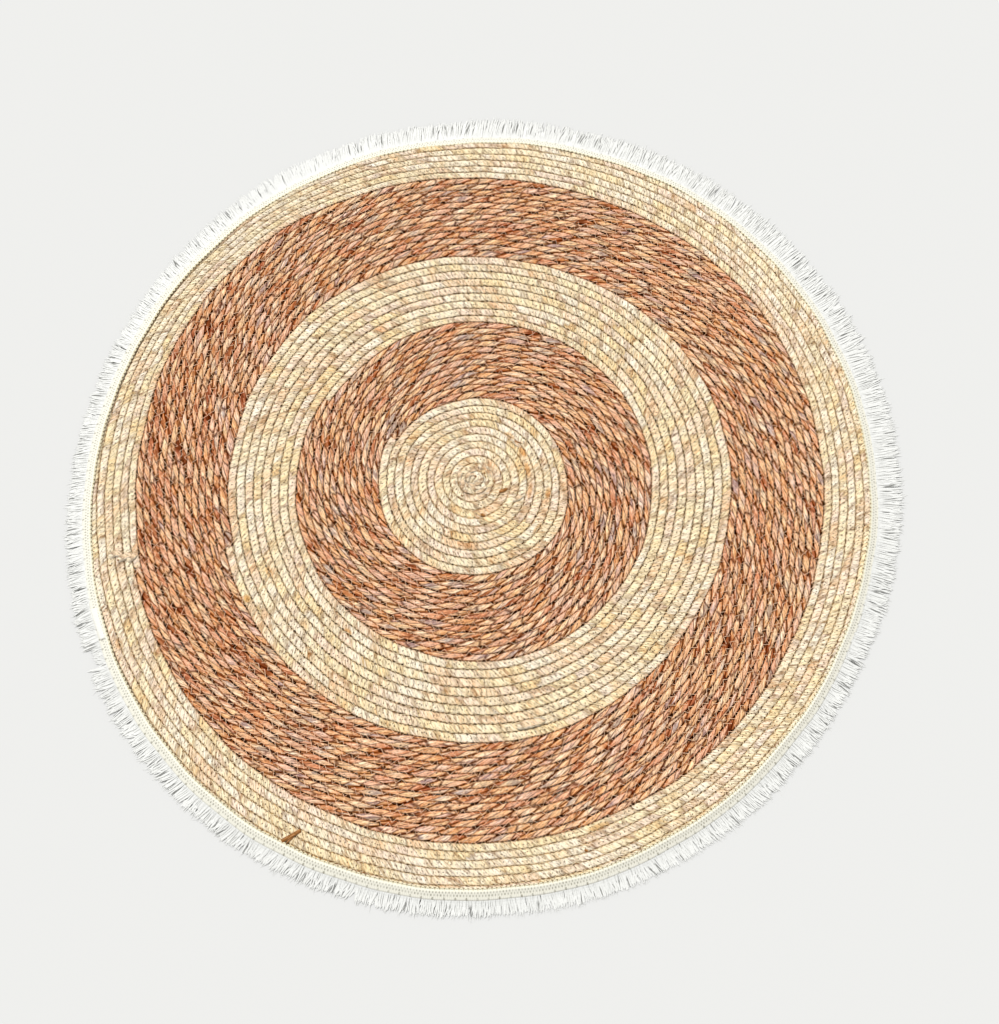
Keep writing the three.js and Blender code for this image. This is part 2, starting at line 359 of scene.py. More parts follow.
def rope_rings(name, step, waist_height, round_angles, relief):
    """Rings of points along one length. round_angles has the angles of the points of each ring, from
    the outer side upwards, and relief how far each point stands out. The last result is the place
    across the rope, from -1 at the seam inside to 1 at the seam outside."""
    last_turn = LENGTHS[name]["last"]
    start, stop = along_of(max(LENGTHS[name]["first"], FIRST_TURN)), along_of(last_turn)
    along = np.linspace(start + END_GAP, stop - END_GAP, int((stop - start) / step))
    turn = turn_of(along)
    inner = seam_radius(np.maximum(turn - 1, 0)) * (turn > 1)
    outer = inner + (seam_radius(turn) - inner) * rope_width(turn)
    to_end = np.minimum(along - start, stop - along)
    if last_turn == LAST_TURN:
        to_end = along - start
    bulge = 1 - np.clip(to_end / END_ROUNDING, 0, 1)
    size = END_SHARE + (1 - END_SHARE) * np.sqrt(1 - bulge * bulge)
    rise = rope_width(turn) * np.clip(turn, 0.5, 1) * size
    angles = round_angles(along)
    power = 2 / np.where(np.sin(angles) > 0, TOP_POWER, FOOT_POWER)
    across = np.sign(np.cos(angles)) * np.abs(np.cos(angles)) ** power
    upward = np.sign(np.sin(angles)) * np.abs(np.sin(angles)) ** power
    pressed = PRESSED + (1 - PRESSED) * upward * upward
    outward = relief(along[:, None], angles) * pressed * rise[:, None] / np.hypot(across, upward)
    crest = CREST_HEIGHT + HEIGHT_SPREAD * smooth_noise(along / HEIGHT_LENGTH, 2)
    waist = (waist_height * rise)[:, None]
    over = (crest * rise)[:, None] - waist
    height = waist + (np.where(upward > 0, over, waist) + outward) * upward
    half = (outer - inner)[:, None] / 2
    sideways = ((half + SIDE_OVERLAP) * size[:, None] + outward) * across
    radius = np.maximum(inner[:, None] + half + sideways, 0.01)
    return coil_point(turn[:, None], radius, np.maximum(height, 0)), along, sideways / half


def rope_piece(name, rings, along, around, side):
    """A length of rope that keeps each point's place across it. The two caps are in the middle."""
    piece = make_tube(name.replace("coil", "rope"), rings, along, around)
    values = np.append(side, [0, 0]).astype(np.float32)
    piece.data.attributes.new("side", "FLOAT", "POINT").data.foreach_set("value", values)
    return piece


# %% [markdown]
# The natural rope is made of pale husk leaves, twisted tightly into one ply. Each leaf wraps over
# the last, so its edges and wrinkles run round the rope at about half a right angle. The wraps are
# a noise along a helix. The rings need no twist of their own, and more of their points are on top,
# where the rope shows.

# %% Natural rope
CREAM_STEP = 2.4
CREAM_WAIST = 6.3
WRAP_LAY = 27
FROM_TOP = np.radians([-140, -100, -74, -52, -28, 0, 28, 52, 74, 100, 140])


def cream_angles(along):
    return np.broadcast_to(math.pi / 2 + FROM_TOP, (len(along), len(FROM_TOP)))


def wrap_relief(along, angles):
    helix = along - angles / math.tau * WRAP_LAY
    wraps = 0.24 * stepped_noise(helix / 11, 3)
    wrinkles = 0.22 * smooth_noise(helix / 5.2, 4)
    lumps = 0.16 * smooth_noise(along / 19, 5)
    return wraps + wrinkles + lumps


def make_cream(name):
    rings, along, side = rope_rings(name, CREAM_STEP, CREAM_WAIST, cream_angles, wrap_relief)
    rings[:, [0, -1], 2] = 0
    return rope_piece(name, rings, along, 0.5 + FROM_TOP / math.tau, side)


cream_pieces = {name: make_cream(name) for name in ("centre_coil", "middle_cream_coil", "outer_cream_coil")}

# %% [markdown]
# The brown rope is laid from two plies of leaf, so its top shows slanting lens shapes with dark
# creases between them. Here the rings of points turn with the plies. An edge of the mesh then runs
# along each crease, which stays crisp with few faces. The twist of a handmade rope is uneven, so
# the turning runs ahead and falls behind by turns.

# %% Brown rope
BROWN_STEPS = {"inner_brown_coil": 2.4, "outer_brown_coil": 3.05}
BROWN_WAIST = 5.5
PLY_LAY = 66
LAY_DRIFTS = [(1.0, 150), (0.35, 47)]
PLY_POINTS = 5
CREASE_DEPTH = 1.3


def ply_angles(along):
    twist = -math.tau * along / PLY_LAY
    for number, (drift, reach) in enumerate(LAY_DRIFTS):
        twist = twist + drift * smooth_noise(along / reach, 6 + 20 * number)
    return twist[:, None] + np.arange(2 * PLY_POINTS) * math.pi / PLY_POINTS


def ply_relief(along, angles):
    within = np.arange(angles.shape[1]) * math.pi / PLY_POINTS
    lobes = CREASE_DEPTH * (np.abs(np.sin(within)) ** 0.7 - 1)
    ply = np.sign(np.sin(within + 0.01))
    swell = 0.32 * smooth_noise(along / 21 + 500 * (ply > 0), 7)
    strips = 0.16 * smooth_noise(along / 13 + 91 * np.arange(angles.shape[1]), 8)
    return 0.2 + lobes + swell + strips


def make_brown(name):
    rings, along, side = rope_rings(name, BROWN_STEPS[name], BROWN_WAIST, ply_angles, ply_relief)
    return rope_piece(name, rings, along, np.arange(2 * PLY_POINTS) / (2 * PLY_POINTS), side)


brown_pieces = {name: make_brown(name) for name in BROWN_STEPS}

# %% [markdown]
# The rope begins with a knot of bent leaves in the middle, which fills the hole that the first turn
# leaves. It is a squashed ball that two textures push in and out. Loose leaf ends lie over it and
# over the first turns, bent round the middle, each a flat strand. A few single leaves that came
# loose elsewhere are made in the same way, from places read off the photograph.

# %% Knot in the middle
KNOT_PLACE = (-4.6, 3.8, 4.4)
KNOT_RADII = (10.5, 8.6, 4.5)
KNOT_TURN = math.radians(35)
# Each push into the knot has its kind, the size of its waves and its strength, in metres.
KNOT_PUSHES = [("VORONOI", 0.0062, 0.0026), ("CLOUDS", 0.0026, 0.0014)]
START_LEAVES = 28
START_REACH = (2, 25)
START_LENGTHS = (12, 26)
START_DRIFT = (-5, 4)
START_WIDTHS = (4, 7.5)
START_FLATNESS = 0.3

bpy.ops.mesh.primitive_uv_sphere_add(segments=40, ring_count=20, radius=1)
knot = bpy.context.object
knot.name = "start_knot"
knot.scale = [radius * MM for radius in KNOT_RADII]
knot.location = [part * MM for part in KNOT_PLACE]
knot.rotation_euler[2] = KNOT_TURN
bpy.ops.object.transform_apply(location=True, rotation=True, scale=True)
for kind, size, strength in KNOT_PUSHES:
    texture = bpy.data.textures.new("knot_" + kind.lower(), kind)
    texture.noise_scale = size
    push = knot.modifiers.new("push", "DISPLACE")
    push.texture = texture
    push.texture_coords = "GLOBAL"
    push.strength = strength
    push.mid_level = 0.5
    bpy.ops.object.modifier_apply(modifier=push.name)
bpy.ops.object.shade_smooth()
knot_uv = knot.data.uv_layers[0]
knot_uv.name = "rope"
for loop, corner in zip(knot.data.loops, knot_uv.uv):
    place = knot.data.vertices[loop.vertex_index].co
    corner.vector = (3 + 1.4 * place.x - 0.5 * place.z, 0.5 + 26 * place.y + 18 * place.z)
for vertex in knot.data.vertices:
    vertex.co.z = max(vertex.co.z, 0.0003)
counted(knot)

LEAF_SHARES = np.linspace(0, 1, 12)
LEAF_WIDTHS = np.sin(np.linspace(0.12, 0.9, 12) * math.pi) ** 0.6
LEAF_SIDES = 6
LOOSE_POINTS = 14
# How high the leaves lie at each distance from the middle of the knot.
KNOT_SLOPE = ([0, 12, 23], [9.2, 8.9, 8.4])
KNOT_SQUASH = 0.86
TUCK = 1.6


def start_leaf(draw):
    """A leaf end that bends round the middle of the coil."""
    radius = draw.uniform(*START_REACH)
    bend = draw.uniform(*START_LENGTHS) / (radius + 5)
    angle = draw.uniform(0, math.tau) + bend * LEAF_SHARES
    radius = radius + draw.uniform(*START_DRIFT) * LEAF_SHARES
    rise = np.interp(radius, *KNOT_SLOPE) + draw.uniform(-0.1, 0.7)
    height = rise - TUCK * np.abs(2 * LEAF_SHARES - 1) ** 2
    x = KNOT_PLACE[0] + radius * np.cos(angle)
    y = KNOT_PLACE[1] - KNOT_SQUASH * radius * np.sin(angle)
    line = np.stack([x, y, height], axis=-1)[None]
    return line, draw.uniform(*START_WIDTHS) * LEAF_WIDTHS[None], LEAF_SIDES, START_FLATNESS


leaf_draw = np.random.default_rng(41)
start_leaves = make_strands("start_leaves", [start_leaf(leaf_draw) for _ in range(START_LEAVES)])


def loose_leaf(places, width, height, flatness, end_widths=(0.35, 0.35)):
    """A leaf through places in the plan, smoothed, with its ends tucked in."""
    places = np.array(places, float)
    steps = np.linspace(0, len(places) - 1, LOOSE_POINTS)
    line = np.stack([np.interp(steps, np.arange(len(places)), part) for part in places.T], axis=-1)
    line[1:-1] = (line[:-2] + line[1:-1] + line[2:]) / 3
    share = np.linspace(0, 1, LOOSE_POINTS)
    waves = 0.25 * smooth_noise(share * 7, int(abs(places[0, 0] * 7)))
    up = height - 0.9 * np.abs(2 * share - 1) ** 4 + waves
    fat = np.interp(share, [0, 0.25, 0.75, 1], [end_widths[0], 1, 1, end_widths[1]])
    return np.column_stack([line, up])[None], width * fat[None], LEAF_SIDES, flatness


# Each leaf has its places, width, height, flatness and, where they are known, the widths of its ends.
PALE_LEAVES = [
    ([(-434.5, -92), (-427, -88), (-419, -89)], 8, 9.4, 0.35, (0.7, 0.6)),
    ([(-424, -96), (-417, -92.5), (-408, -89)], 8.5, 9.6, 0.35, (0.6, 0.7)),
    ([(-413, -96.5), (-407, -93), (-402.5, -89)], 8, 9.3, 0.35, (0.7, 0.6)),
    ([(39.6, -22), (47, -20.5), (54, -16)], 7, 9.0, 0.25),
    ([(41, 57), (46, 49), (53, 44)], 5, 9.0, 0.25),
    ([(44, -291), (60, -287), (76, -283)], 11, 9.6, 0.22, (0.6, 0.5)),
]
DARK_LEAVES_AND_SHADE_STRIPS = [
    ([(24, -12), (30, -10.7), (36.1, -6.9)], 4.5, 9.2, 0.3),
    ([(3.4, -39.6), (8.2, -42)], 3.5, 9.2, 0.3, (0.8, 0.3)),
    ([(-222.6, -417.9), (-208.9, -410.3), (-196.8, -403.4)], 4.4, 9.9, 0.35, (0.2, 0.9)),
    ([(-212.5, -417.3), (-206, -411.5), (-203, -407)], 2, 10, 0.4, (0.4, 0.8)),
    ([(43, 53.5), (48, 50.5), (54, 49.5)], 1.6, 9.6, 0.4),
    # The next five small strips lie in the pits of the knot: dark paint for the shade there, not leaves.
    ([(-15.5, 4.5), (-12.5, 3.5)], 1.8, 9.7, 0.4),
    ([(-4.5, 8), (-2, 7.5)], 2, 9.8, 0.4),
    ([(6.5, 12.5), (8.5, 10.5)], 1.8, 9.7, 0.4),
    ([(9, 1), (11.5, 1.5)], 2, 9.7, 0.4),
    ([(-20.5, -16), (-18.5, -18)], 1.8, 9.5, 0.4),
    ([(-424, -96.6), (-421.5, -95.6)], 1.8, 10.4, 0.4),
    ([(-433.5, -102), (-431, -102.3)], 1.8, 9.5, 0.4),
    ([(118, -426), (122, -427)], 3, 9.2, 0.4, (0.8, 0.4)),
]
pale_leaves = make_strands("pale_leaves", [loose_leaf(*leaf) for leaf in PALE_LEAVES])
dark_leaves_and_shade_strips = make_strands("dark_leaves_and_shade_strips", [loose_leaf(*leaf) for leaf in DARK_LEAVES_AND_SHADE_STRIPS])

# %% [markdown]
# The turns are held together by a zigzag of thin cotton thread over each seam. It is pulled tight,
# so it runs straight from the shoulder of one turn to the shoulder of the next. Over the brown rope
# it shows as pale dashes, and over the natural rope it mostly sinks in.

# %% Sewing thread
BROWN_STITCH = {"stitch": 4.7, "reach": 3.5, "height": 9.0, "thickness": 0.74}
NATURAL_STITCH = {"stitch": 5.6, "reach": 1.4, "height": 8.2, "thickness": 0.7}
# How unevenly the stitches are made: along the seam and across it as shares, and up and down in
# millimetres.
UNEVEN_ALONG = (-0.4, 0.4)
UNEVEN_ACROSS = (0.6, 1.25)
UNEVEN_HEIGHT = (-0.7, 0.2)


def zigzag(first_turn, last_turn, kind, seed):
    """One thread that zigzags along the seam outside the rope, from one turn to another."""
    start, stop = along_of(first_turn), along_of(last_turn)
    count = int((stop - start) / kind["stitch"])
    draw = np.random.default_rng(seed)
    along = np.linspace(start, stop, count) + draw.uniform(*UNEVEN_ALONG, count) * kind["stitch"]
    turn = turn_of(np.clip(along, start, stop))
    side = np.where(np.arange(count) % 2 == 0, 1, -1)
    radius = seam_radius(turn) + side * kind["reach"] * draw.uniform(*UNEVEN_ACROSS, count)
    line = coil_point(turn, radius, kind["height"] + draw.uniform(*UNEVEN_HEIGHT, count))[None]
    return line, np.full(line.shape[:2], kind["thickness"]), 3


def sewn_seams(name, kind, spans, first_seed):
    """A piece with a zigzag for each span of turns."""
    threads = [zigzag(*span, kind, first_seed + number) for number, span in enumerate(spans)]
    piece = make_strands(name, threads)
    piece.data.shade_flat()
    return piece


inner_span, outer_span = ((LENGTHS[name]["first"] - 1, LENGTHS[name]["last"]) for name in BROWN_STEPS)
natural_spans = [(1, inner_span[0]), (inner_span[1], outer_span[0]), (outer_span[1], LAST_TURN - 1)]
brown_thread = sewn_seams("brown_thread", BROWN_STITCH, [inner_span, outer_span], 11)
natural_thread = sewn_seams("natural_thread", NATURAL_STITCH, natural_spans, 13)

# %% [markdown]
# The tape runs along a line of its own over the outermost turn, and is about as wide everywhere.
# Where it reaches far in over the rope its outer edge hangs high, and where it hardly reaches the
# rope it slopes almost down to the floor. It is one closed ring, a thin ribbon, ribbed across as a
# woven tape is, and its loose end is a short flat strand laid on it.

# %% Tape of the fringe
# The tape's own row of the table of uneven rings.
TAPE_LINE = dict(zip(UNEVENNESS, (467.9, 6.1, 0.1, 0.7, -6.6, 1.4, -0.7, -0.2, -1.4)))
OVERLAP_LEAST = 1
OVERLAP_MOST = 7.5
TAPE_STEPS = 2400
RIB_PITCH = 2.6
RIB_HEIGHT = 0.14
TAPE_WIDTH = 11.2
FOOT_SHARE = 0.95
SLOPE_POWER = 0.85
JOIN_ANGLE = math.radians(159)
JOIN_WIDTH = math.radians(2.6)
JOIN_HEIGHT = 0.9
RIM_STEPS = 1440
SMOOTH_OVER = 9
FOOT_HEIGHTS = [3.8, 5.8]
# The height of the tape's top over the rope, at each distance from the rim.
TOP_DISTANCES = [-8, -5.5, -3, -1.5, 0]
TOP_HEIGHTS = [9.4, 10.2, 10, 9.4, 8.3]
TOP_SHARES = [0, 0.12, 0.26, 0.4, 0.55, 0.7, 0.85, 1]
# How far below the top the tape's underside lies, at three shares of its width.
UNDERSIDE = [(1, 1.2), (0.5, 0.9), (0, 0.9)]


def rim_at(angle):
    """X and Y of the outside of the last turn, and how far the tape reaches in over it."""
    turn = LAST_TURN - 1 + ((angle - turn_angle(LAST_TURN - 1)) / math.tau) % 1
    inner = seam_radius(turn - 1)
    radius = inner + (seam_radius(turn) - inner) * rope_width(turn)
    place = ring_point(radius, turn_angle(turn), uneven_row(radius), 0)
    edge = ring_point(TAPE_LINE["radius"], angle, TAPE_LINE, 0)
    out = np.stack([np.cos(angle), -np.sin(angle), np.zeros_like(angle)], axis=-1)
    overlap = np.clip(((place - edge) * out).sum(axis=-1), OVERLAP_LEAST, OVERLAP_MOST)
    return place[:, 0], place[:, 1], overlap


def smoothed(values):
    """A closed line's values, averaged over their neighbours."""
    wide = np.concatenate([values[-SMOOTH_OVER - 1 : -1], values, values[1 : SMOOTH_OVER + 1]])
    kernel = np.ones(2 * SMOOTH_OVER + 1) / (2 * SMOOTH_OVER + 1)
    return np.convolve(wide, kernel, mode="valid")


rim_angles = np.linspace(0, math.tau, RIM_STEPS + 1)
rim_x, rim_y, rim_overlap = (smoothed(values) for values in rim_at(rim_angles))


def rim_point(angle, distance, height, aside=0):
    """Points at a distance outside the rim, and so far clockwise along it."""
    at = angle % math.tau
    x = np.interp(at, rim_angles, rim_x) + np.cos(angle) * distance - np.sin(angle) * aside
    y = np.interp(at, rim_angles, rim_y) - np.sin(angle) * distance - np.cos(angle) * aside
    return rippled(as_points(x, y, height))


def overlap_at(angle):
    return np.interp(angle % math.tau, rim_angles, rim_overlap)


def join_bulge(angle):
    """How much higher the tape is where its two ends lie over each other."""
    return JOIN_HEIGHT * np.exp(-(((angle % math.tau) - JOIN_ANGLE) / JOIN_WIDTH) ** 4)


def tape_foot(angle):
    """Distance from the rim and height of the tape's outer edge."""
    overlap = overlap_at(angle)
    height = np.interp(overlap, [OVERLAP_LEAST, OVERLAP_MOST], FOOT_HEIGHTS)
    return TAPE_WIDTH - FOOT_SHARE * overlap, height


def tape_top(angle, share):
    """Distance from the rim and height of the tape's top, at a share of its width from inside."""
    overlap = overlap_at(angle)
    foot, foot_height = tape_foot(angle)
    distance = -overlap + (foot + overlap) * share
    from_rim = np.clip(distance / np.maximum(foot, 0.1), 0, 1)
    on_rope = np.interp(distance, TOP_DISTANCES, TOP_HEIGHTS)
    return distance, on_rope + (foot_height - TOP_HEIGHTS[-1]) * from_rim**SLOPE_POWER


def make_tape():
    angle = np.arange(TAPE_STEPS + 1) / TAPE_STEPS * math.tau
    rib = RIB_HEIGHT * np.sin(angle * RIM * math.tau / RIB_PITCH / 2)
    sections = []
    for number, share in enumerate(TOP_SHARES):
        distance, height = tape_top(angle, share)
        lift = rib * (1 if number % 2 else -1) + join_bulge(angle)
        sections.append(rim_point(angle, distance, height + lift))
    for share, sink in UNDERSIDE:
        distance, height = tape_top(angle, share)
        sections.append(rim_point(angle, distance, height - sink))
    rings = np.stack(sections, axis=1)[:-1]
    return rings[:, ::-1], angle * RIM


def make_ring_tube(name, rings, along):
    """A tube whose end joins its start."""
    count, sides = rings.shape[:2]
    quads, corners = tube_faces(count + 1, sides, 0)
    quads = quads % (count * sides)
    uv = np.stack([along[corners[..., 0]] * MM, corners[..., 1] / sides], axis=-1)
    return make_piece(name, rings.reshape(-1, 3), quads.tolist(), uv.reshape(-1, 2))


tape_rings, tape_along = make_tape()
tape = make_ring_tube("fringe_tape_ribbon", tape_rings, tape_along)

END_POINTS = 24
END_WIDTH = 11.5
END_LIFT = 1.2
END_DEGREES = (156.6, 161.2)
END_SKEW = (-1.2, 0.6)
END_SIDES = 8
END_FLATNESS = 0.1

end_angle = np.radians(np.linspace(*END_DEGREES, END_POINTS))
end_distance, end_height = tape_top(end_angle, 0.45)
end_distance = end_distance + np.linspace(*END_SKEW, END_POINTS)
end_line = rim_point(end_angle, end_distance, end_height + END_LIFT)[None]
end_thickness = np.full((1, END_POINTS), END_WIDTH)
tape_end = make_strands("tape_end", [(end_line, end_thickness, END_SIDES, END_FLATNESS)])

# %% [markdown]
# A looped edge stitch in a slightly yellower yarn runs along the inner edge of the tape. It is one
# strand that swings out in scallops, thick in the middle of each and thin where it is sewn down.
# A dark olive strand runs under it, painted shade that shows between the scallops.

# %% Looped edge
LOOP_PITCH = 5.2
LOOP_POINTS = 6
LOOP_REACH = 2.2
LOOP_START = 0.9
LOOP_DROP = 0.3
LOOP_THICKNESS = (0.8, 1.9)
SHADE_STRAND_INWARDS = 1.0
SHADE_STRAND_LOWER = 0.45
SHADE_STRAND_THICKNESS = 1.5

loop_count = int(math.tau * TAPE_LINE["radius"] / LOOP_PITCH)
loop_angle = np.arange(loop_count * LOOP_POINTS + 1) / (loop_count * LOOP_POINTS) * math.tau
loop_swing = np.abs(np.sin(np.arange(len(loop_angle)) * math.pi / LOOP_POINTS)) ** 0.8
edge_distance, edge_height = tape_top(loop_angle, 0)
edge_height = edge_height - LOOP_DROP * loop_swing + join_bulge(loop_angle)
loop_line = rim_point(loop_angle, edge_distance + LOOP_START - LOOP_REACH * loop_swing, edge_height)[None]
loop_thickness = LOOP_THICKNESS[0] + (LOOP_THICKNESS[1] - LOOP_THICKNESS[0]) * loop_swing[None]
loops = make_strands("looped_edge", [(loop_line, loop_thickness, 4)])

# This dark strand is painted shade, where the scallops shade the rope.
shade_strand_angle = loop_angle[::3]
edge_distance, edge_height = tape_top(shade_strand_angle, 0)
shade_strand_line = rim_point(shade_strand_angle, edge_distance - SHADE_STRAND_INWARDS, edge_height - SHADE_STRAND_LOWER)[None]
shade_strand_thickness = SHADE_STRAND_THICKNESS * (1 + 0.45 * smooth_noise(shade_strand_angle * RIM / 9, 31)[None])
scallop_shade_strand = make_strands("tape_holding_thread", [(shade_strand_line, shade_strand_thickness, 3, 0.5)])

# %% [markdown]
# The fringe is a few thousand loose cotton yarns. They leave the outer edge of the tape, drop to the
# floor and lie there over each other, in locks that lean a little to one side or the other. The
# yarns at the bottom of the pile are pressed flat. Each yarn is a strand with six points, which is
# enough for its bend, and thin fibres fray from the tips. Beside the tape's loose end the yarns are
# cut shorter.

# %% Fringe
FRINGE_REACH = [40, 31, 29, 27.5, 28.5, 31, 28.5, 29.5, 34, 35.5, 37.5, 39.5]
LEAN = [-1, 0, -2, 0, 4, 2, -2, 1, 3, 5, -1, -2]
YARN_KEYS = ("count", "in_lock", "thickness", "flatness", "lowest", "pile", "reach")
TOP_YARNS = dict(zip(YARN_KEYS, (3000, 9, 1.45, 0.6, 1.1, 1.3, 1)))
LOW_YARNS = dict(zip(YARN_KEYS, (1500, 6, 2.7, 0.3, 0.6, 0.3, 0.93)))
YARN_SHARES = np.array([0, 0.1, 0.26, 0.48, 0.74, 1])
YARN_FALL = np.array([1, 0.66, 0.34, 0.12, 0.03, 0])
YARN_TAPER = np.array([0.8, 1, 1.05, 1.05, 0.95, 0.65])
UNDER_TAPE = 1.6
# How much single yarns and whole locks differ in length, as a share, and in lean, in millimetres.
YARN_SPREAD = 0.05
LOCK_SPREAD = 0.03
YARN_LEAN = 1.2
LOCK_LEAN = 1.6
GATHER = (-0.1, 0.5)
CURL = 0.7
FRAY_REACH = (1, 4)
FRAY_WIDTHS = [0.5, 0.5, 0.2]
SHORT_ANGLES = (153, 156)
SHORT_SHARE = 0.6


def around_rim(values, angle):
    """A value for each angle, from a few that stand at even steps round the rim."""
    place = (angle / math.tau) % 1 * len(values)
    return np.interp(place, np.arange(len(values) + 1), values + values[:1])


def yarn_lines(kind, seed):
    """Lines and thickness of the yarns of one layer."""
    draw = np.random.default_rng(seed)
    count = kind["count"]
    angle = (np.arange(count) + draw.uniform(-0.35, 0.35, count)) / count * math.tau
    lock = np.arange(count) // kind["in_lock"]
    locks = lock.max() + 1
    foot, foot_height = tape_foot(angle)
    spread = kind["reach"] + draw.normal(0, YARN_SPREAD, count) + draw.normal(0, LOCK_SPREAD, locks)[lock]
    length = (around_rim(FRINGE_REACH, angle) - overlap_at(angle) - foot + 1.9) * spread
    degrees = np.degrees(angle)
    short = (degrees > SHORT_ANGLES[0]) & (degrees < SHORT_ANGLES[1])
    length = np.where(short, SHORT_SHARE * length, length)
    lean = around_rim(LEAN, angle) + draw.normal(0, YARN_LEAN, count) + draw.normal(0, LOCK_LEAN, locks)[lock]
    to_middle = (lock + 0.5) * kind["in_lock"] / count * math.tau - angle
    gather = draw.uniform(*GATHER, locks)[lock] * to_middle * RIM
    curl = draw.normal(0, CURL, count)
    share = YARN_SHARES[None]
    distance = foot[:, None] - UNDER_TAPE + length[:, None] * share
    aside = (lean + gather)[:, None] * share**1.4 + curl[:, None] * np.sin(share * math.pi * 1.5)
    level = draw.uniform(0, 1, count)[:, None]
    low = kind["lowest"] + kind["pile"] * level * np.clip(1.3 - share, 0, 1)
    start = foot_height[:, None] + 0.5
    height = low + (start - low) * YARN_FALL[None]
    thickness = kind["thickness"] * YARN_TAPER[None] * draw.uniform(0.85, 1.15, count)[:, None]
    return rim_point(angle[:, None], distance, height, aside), thickness


def fray_lines(yarns, seed):
    """A thin fibre past the tip of each yarn."""
    draw = np.random.default_rng(seed)
    tips = yarns[:, -1]
    heading = tips - yarns[:, -2]
    heading /= np.linalg.norm(heading, axis=1, keepdims=True)
    sway = draw.normal(0, 0.4, (len(tips), 3)) * [1, 1, 0.1]
    ends = tips + (heading + sway) * draw.uniform(*FRAY_REACH, len(tips))[:, None]
    frays = np.stack([tips - heading * 2, tips, ends], axis=1)
    frays[..., 2] = np.clip(frays[..., 2] - [0, 0.2, 0.5], 0.3, None)
    return frays, np.broadcast_to(FRAY_WIDTHS, frays.shape[:2])


top_lines, top_thickness = yarn_lines(TOP_YARNS, 21)
low_lines, low_thickness = yarn_lines(LOW_YARNS, 22)
fray_places, fray_thickness = fray_lines(top_lines, 23)
fringe = make_strands(
    "fringe_yarns",
    [
        (top_lines, top_thickness, 3, TOP_YARNS["flatness"]),
        (low_lines, low_thickness, 3, LOW_YARNS["flatness"]),
        (fray_places, fray_thickness, 3),
    ],
)
fringe.data.shade_flat()
print("triangles in all:", sum(triangle_counts.values()))

# %% [markdown]
# Now the finishes. A few helpers keep the node trees short. The first two turn the colours of a
# paint chart into Blender's own. Then what a node puts out is kept as a Value, which can be added,
# multiplied and divided as a plain number is, and each such sum becomes a Math node. The helpers add
# their nodes to the tree that was opened last.

# %% Colours
ROPE_LIGHT = 1.04


def colour(red, green, blue):
    """A colour from its usual 0 to 255 numbers."""
    linear = [c / 255 / 12.92 if c <= 10 else ((c / 255 + 0.055) / 1.055) ** 2.4 for c in (red, green, blue)]
    return (*linear, 1)


def seen(red, green, blue):
    """The paint that looks like this colour on the rope, in the light of this scene."""
    return (*[part / ROPE_LIGHT for part in colour(red, green, blue)[:3]], 1)


# %% Values and nodes
tree = None


def maths(operation):
    return lambda first, second: calc(operation, first, second)


class Value:
    """What a node puts out: a number or a colour that changes over the surface."""

    def __init__(self, socket):
        self.socket = socket

    __add__ = __radd__ = maths("ADD")
    __mul__ = __rmul__ = maths("MULTIPLY")
    __sub__ = maths("SUBTRACT")
    __truediv__ = maths("DIVIDE")
    __pow__ = maths("POWER")

    def __rsub__(self, first):
        return calc("SUBTRACT", first, self)


def fill(socket, value):
    """Link a value to a socket, or set it there if it is the same all over."""
    if isinstance(value, Value):
        tree.links.new(value.socket, socket)
    else:
        socket.default_value = value


def add(kind, inputs=None, out=0, **settings):
    """A new node with its inputs filled. It hands back one of its outputs, or a list of them."""
    node = tree.nodes.new(kind)
    for key, value in settings.items():
        setattr(node, key, value)
    for key, value in (inputs or {}).items():
        fill(node.inputs[key], value)
    if isinstance(out, list):
        return [Value(node.outputs[key]) for key in out]
    return Value(node.outputs[out])


def calc(operation, *values, clamp=False):
    return add("ShaderNodeMath", dict(enumerate(values)), operation=operation, use_clamp=clamp)


def smooth_step(value, low, high):
    """0 below low, 1 above high, and smooth between them. It runs down when low is the higher one."""
    inputs = {"Value": value, "From Min": min(low, high), "From Max": max(low, high)}
    inputs["To Min"] = 0.0 if low < high else 1.0
    inputs["To Max"] = 1.0 if low < high else 0.0
    return add("ShaderNodeMapRange", inputs, interpolation_type="SMOOTHSTEP")


def mixed(share, first, second, blend="MIX"):
    """Two colours mixed. A Mix node keeps its colours in inputs 6 and 7 and output 2."""
    return add("ShaderNodeMix", {0: share, 6: first, 7: second}, 2, data_type="RGBA", blend_type=blend)


def chart(value, paint, stops):
    """A colour for each value, from stops with a place and three numbers for the paint."""
    node = tree.nodes.new("ShaderNodeValToRGB")
    fill(node.inputs["Fac"], value)
    ramp = node.color_ramp
    while len(ramp.elements) < len(stops):
        ramp.elements.new(0.5)
    for element, (place, *numbers) in zip(ramp.elements, stops):
        element.position = place
        element.color = paint(*numbers)
    return Value(node.outputs[0])


# %% [markdown]
# Both rushes are made of leaf, so they share four effects, each a node group. The first gives every
# leaf a tone and a hue of its own and marks where one leaf ends and the next begins. The second
# draws short wrinkles: thin dark lines where a stretched noise passes its middle. The third makes
# pits, small spots that only some cells of a pattern have, painted dark as the shade inside them.
# The last finds the seams, from how far across the rope a point lies, because painted shade goes
# there, in the grooves between the turns.


